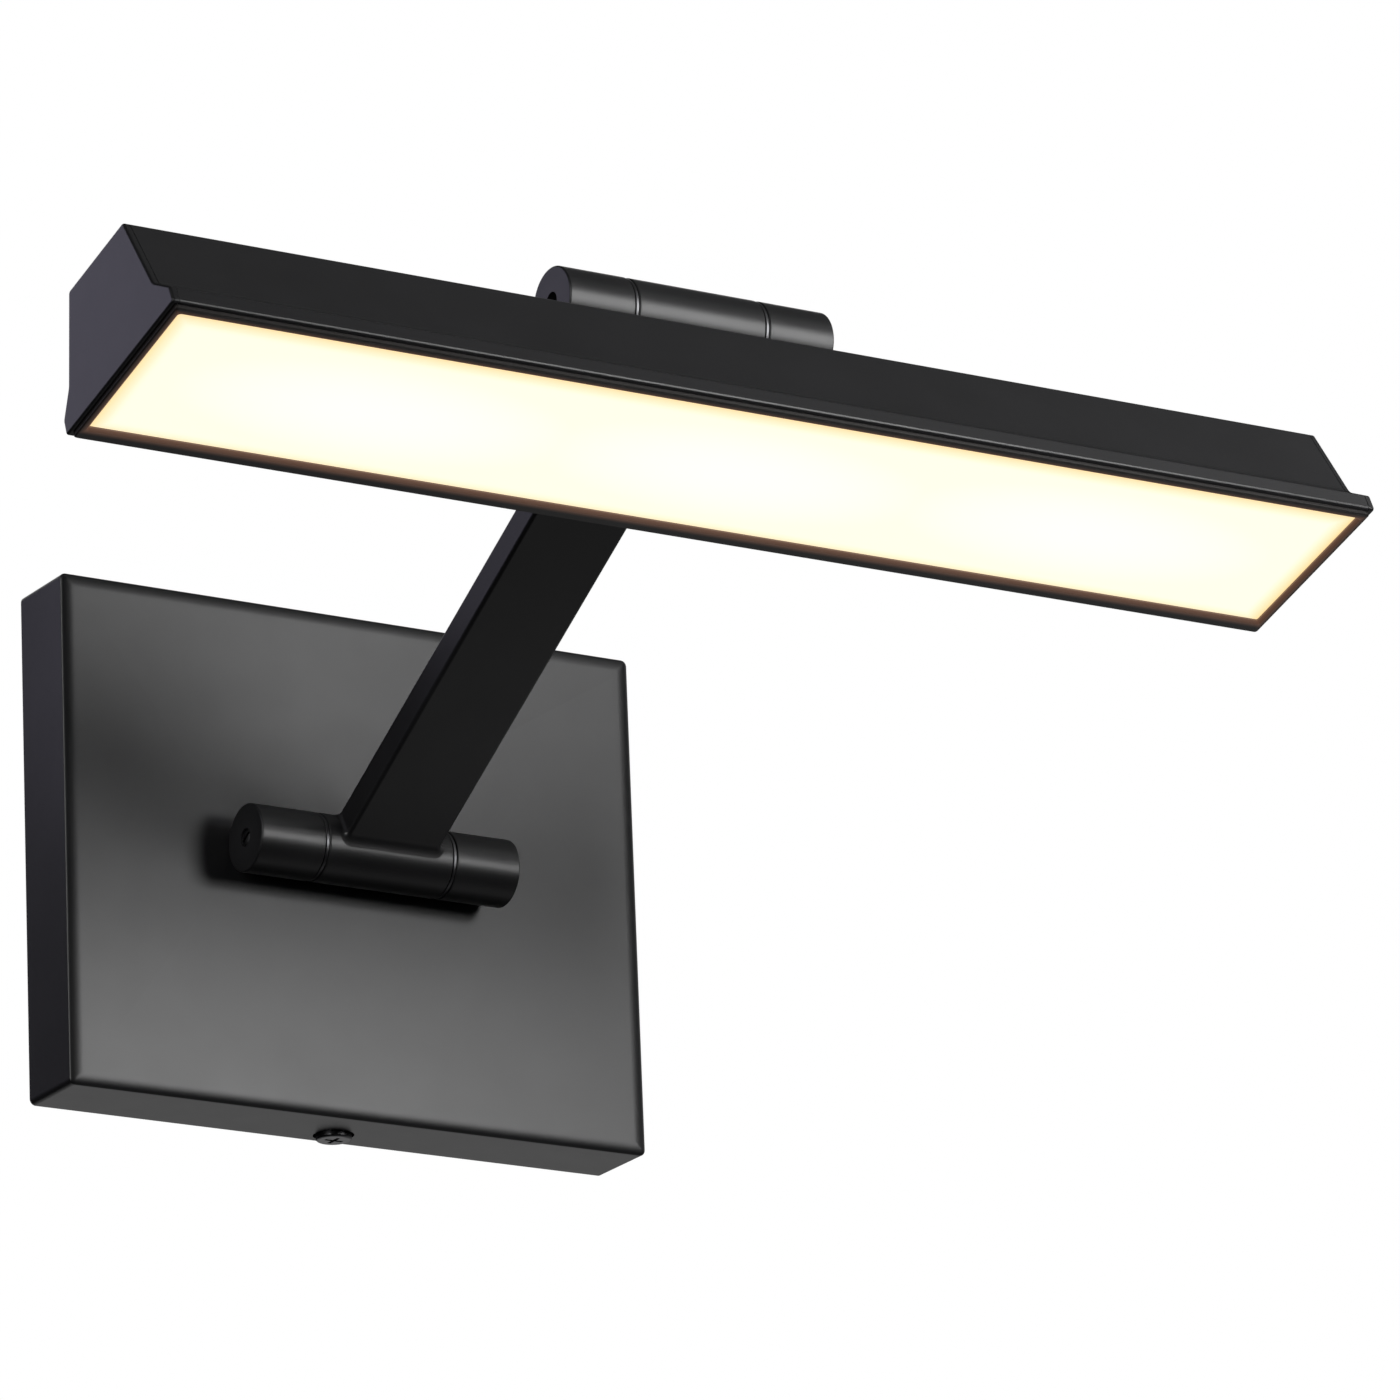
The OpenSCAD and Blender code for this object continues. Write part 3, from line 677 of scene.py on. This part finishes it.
def make_shell():
    """The folded housing, open below, with a fine break of its sharp ends."""
    end = HEAD_HALF - CAP_T
    near_end = end - SHELL_BREAK
    sides = [section(x, d) for x, d in
             ((-end, SHELL_BREAK), (-near_end, 0), (near_end, 0), (end, SHELL_BREAK))]
    shell = loft("head_shell_skin", sides, IN_HEAD)
    points, radii = inset(OUTLINE, OUTLINE_R, SHELL_T)
    points[0] = Vector((points[0].x, -2))
    points[-1] = Vector((points[-1].x, -2))
    hollow = rounded(points, radii)
    carve(shell, loft("hollow", [[(x, p.x, p.y) for p in hollow] for x in (-HEAD_HALF, HEAD_HALF)], IN_HEAD))
    for x in FOOT_HOLES:
        drill(shell, (x, PIVOT_BACK, HEAD_H - 3), FOOT_HOLE_R, 5, IN_HEAD)
    drill(shell, (WIRE_X, PIVOT_BACK, HEAD_H - 3), GROMMET_R, 5, IN_HEAD)
    finish(shell, "head", "black_coat", "head_shell")


CAP_ROUND = 0.55
CAP_TAB = (5, 8, 21.2, 26.5)   # reach, half width, bottom and top


def make_end_cap(name, side, node):
    """A flat cap with a rounded rim and a tab that reaches over the tray."""
    inner = HEAD_HALF - CAP_T
    steps = 6
    rings = [section(side * inner, 0.1), section(side * (inner + 0.1))]
    for k in range(steps + 1):
        a = QUARTER * k / steps
        x = HEAD_HALF - CAP_ROUND * (1 - math.sin(a))
        rings.append(section(side * x, CAP_ROUND * (1 - math.cos(a))))
    cap = loft(name, rings, IN_HEAD)
    reach, half, low, high = CAP_TAB
    tab = [[(side * x, y, z + (low + high) / 2) for y, z in box_outline(2 * half, high - low)]
           for x in (inner - reach, inner + 0.3)]
    carve(cap, loft("tab", tab, IN_HEAD), "UNION")
    finish(cap, "head", "black_coat", node)


def frame_ring(half, front, back, z, corner):
    """A rectangle with rounded corners in a plane of the head."""
    middle = (front + back) / 2
    points = rounded(box_outline(2 * half, back - front), [corner] * 4, steps=4)
    return [(p.x, p.y + middle, z) for p in points]


def make_bezel():
    """The thin frame under the lens plane, bevelled towards the window."""
    half = HEAD_HALF - BEZEL_INSET
    front, back = OUTLINE[0][0] + BEZEL_INSET, OUTLINE[-1][0] - BEZEL_INSET

    def outer(d, z):
        return frame_ring(half - d, front + d, back - d, z, 0.6)

    def window(d, z):
        return frame_ring(WINDOW[0] + d, WINDOW[1] - d, WINDOW[2] + d, z, 0.3 + d)

    rings = [outer(0, 0), outer(0, BEZEL_EDGE - BEZEL_T), outer(BEZEL_EDGE, -BEZEL_T),
             window(WINDOW_BEVEL, -BEZEL_T), window(0, WINDOW_BEVEL - BEZEL_T), window(0, 0)]
    finish(loft("bezel_frame", rings, IN_HEAD, closed=True), "head", "black_bezel", "bezel")


def make_diffuser():
    """The opal panel behind the window, with a fine break all round."""
    half, front, back, thick = DIFFUSER
    edge = DIFFUSER_EDGE

    def ring(d, z):
        return frame_ring(half - d, front + d, back - d, z, 0.5)

    rings = [ring(edge, 0), ring(0, edge), ring(0, thick - edge), ring(edge, thick)]
    finish(loft("diffuser_panel", rings, IN_HEAD), "head", "opal_diffuser", "diffuser")


# ---------------------------------------------------------------- the object
make_canopy()
make_ear("left_wall_ear_skin", -1, AT_LOWER, LOWER_FOOT, "base", "left_wall_ear")
make_ear("right_wall_ear_skin", 1, AT_LOWER, LOWER_FOOT, "base", "right_wall_ear")
make_washers("lower_washer_pair", AT_LOWER, "base", "lower_washers")
make_pivot_screw("lower_slotted_screw", AT_LOWER, LOWER_RECESS, "base", "lower_pivot_screw")
make_arm()
make_ear("left_head_ear_skin", -1, AT_UPPER, UPPER_FOOT, "head", "left_head_ear")
make_ear("right_head_ear_skin", 1, AT_UPPER, UPPER_FOOT, "head", "right_head_ear")
make_washers("upper_washer_pair", AT_UPPER, "head", "upper_washers")
make_pivot_screw("upper_slotted_screw", AT_UPPER, UPPER_RECESS, "head", "upper_pivot_screw")
make_shell()
make_end_cap("left_end_cap_skin", -1, "left_end_cap")
make_end_cap("right_end_cap_skin", 1, "right_end_cap")
make_bezel()
make_diffuser()

for part in frame["record"]["subparts"]:
    node = frame["nodes"][part["node"]]
    if not node.hide_render:
        node.data.materials.clear()
        node.data.materials.append(MATERIALS[part["material_slot"]])


# ---------------------------------------------------------------- camera
AIM = Vector((0.0635, -0.060, 0.0343))
DISTANCE = 2.0663
AZIMUTH = 0.564
ELEVATION = 0.317
ROLL = 0.041
LENS = 244.55


def make_camera():
    """Looks up at the light from the left, with a slight roll."""
    data = bpy.data.cameras.new("camera")
    data.lens = LENS
    data.clip_start = 0.05
    camera = bpy.data.objects.new("camera", data)
    bpy.context.scene.collection.objects.link(camera)
    forward = Vector((math.sin(AZIMUTH) * math.cos(ELEVATION), math.cos(AZIMUTH) * math.cos(ELEVATION),
                      math.sin(ELEVATION)))
    level = Vector((math.cos(AZIMUTH), -math.sin(AZIMUTH), 0))
    down = forward.cross(level)
    right = level * math.cos(ROLL) + down * math.sin(ROLL)
    back = -forward
    up = back.cross(right)
    turn = Matrix((right, up, back)).transposed().to_4x4()
    camera.matrix_world = Matrix.Translation(AIM - forward * DISTANCE) @ turn
    bpy.context.scene.camera = camera


# ---------------------------------------------------------------- studio
FLOOR_Z = -0.72
FLOOR_HALF = 6.0
FLOOR_GLOW = 0.72             # keeps the floor pale where the panels don't reach it


def make_floor():
    """A pale plane below, out of the object's reflections."""
    corners = [(x / MM, y / MM, FLOOR_Z / MM) for x, y in box_outline(2 * FLOOR_HALF, 2 * FLOOR_HALF)]
    floor = piece("floor", corners, [(0, 1, 2, 3)])
    m = Nodes("pale_floor")
    m.link(m.blend(m.spread(m.noise(2), 0, 1), (0.80, 0.80, 0.80), (0.84, 0.84, 0.84)),
           m.shader.inputs["Base Color"])
    m.set(Roughness=0.8, Emission_Color=(1, 1, 1, 1), Emission_Strength=FLOOR_GLOW)
    floor.data.materials.append(m.material)
    floor.visible_glossy = False
    floor.visible_diffuse = False


def soft_box(name, target, direction, distance, width, height, radiance, colour=(1, 1, 1)):
    """An area light that faces target from a direction, seen as a panel of the given brightness."""
    data = bpy.data.lights.new(name, "AREA")
    data.shape = "RECTANGLE"
    data.size = width
    data.size_y = height
    data.energy = radiance * width * height * math.pi
    data.color = colour
    light = bpy.data.objects.new(name, data)
    bpy.context.scene.collection.objects.link(light)
    towards = Vector(direction).normalized()
    light.location = Vector(target) + towards * distance
    light.rotation_euler = towards.to_track_quat("Z", "Y").to_euler()
    light.visible_camera = False


def make_world():
    """A white ground that neither lights the object nor shows in its reflections."""
    world = bpy.data.worlds.new("studio")
    world.use_nodes = True
    background = world.node_tree.nodes["Background"]
    background.inputs["Color"].default_value = (1, 1, 1, 1)
    background.inputs["Strength"].default_value = 1.0
    world.cycles_visibility.diffuse = False
    world.cycles_visibility.glossy = False
    bpy.context.scene.world = world


make_camera()
make_floor()
make_world()

# places on the light that the panels face, in metres
PLATE_AT = (0, -0.02, 0)
PLATE_LOW_AT = (-0.005, -0.02, -0.03)
PLATE_SIDE_AT = (-0.071, -0.01, 0)
HEAD_AT = (0, -0.17, 0.06)
HEAD_LEFT_AT = (-0.14, -0.17, 0.06)
HEAD_RIGHT_AT = (0.14, -0.18, 0.06)

soft_box("back_fill", PLATE_AT, (0.25, 0.85, 0.5), 1.6, 1.4, 1.2, 0.7)
soft_box("right_fill", PLATE_AT, (0.95, 0.15, 0.3), 1.6, 1.0, 1.2, 0.7)
soft_box("key", PLATE_LOW_AT, (0.42, -0.85, 0.205), 0.9, 0.26, 0.46, 11.0)
soft_box("left_strip", PLATE_AT, (-0.85, -0.45, 0.2), 1.6, 0.25, 1.2, 9.0)
soft_box("behind_left", HEAD_LEFT_AT, (-0.42, 0.82, 0.34), 0.3, 0.24, 0.2, 0.78, (0.8, 0.76, 1.0))
soft_box("behind_plate", PLATE_SIDE_AT, (-0.47, 0.82, 0.29), 1.2, 0.9, 0.9, 0.11, (0.85, 0.82, 1.0))
soft_box("behind_low", PLATE_AT, (0.45, 0.8, -0.3), 1.4, 1.2, 0.6, 0.29)
soft_box("below", HEAD_AT, (0.47, 0.55, -0.7), 0.7, 1.2, 0.8, 0.24)
soft_box("top", HEAD_AT, (0.35, 0.0, 0.95), 1.6, 1.6, 1.6, 0.11)
soft_box("over", HEAD_AT, (0.47, -0.45, 0.78), 0.8, 1.0, 0.2, 0.2)
soft_box("over_right", HEAD_RIGHT_AT, (0.5, -0.5, 0.75), 0.5, 0.3, 0.12, 0.95)
bpy.context.scene.view_settings.view_transform = "Standard"
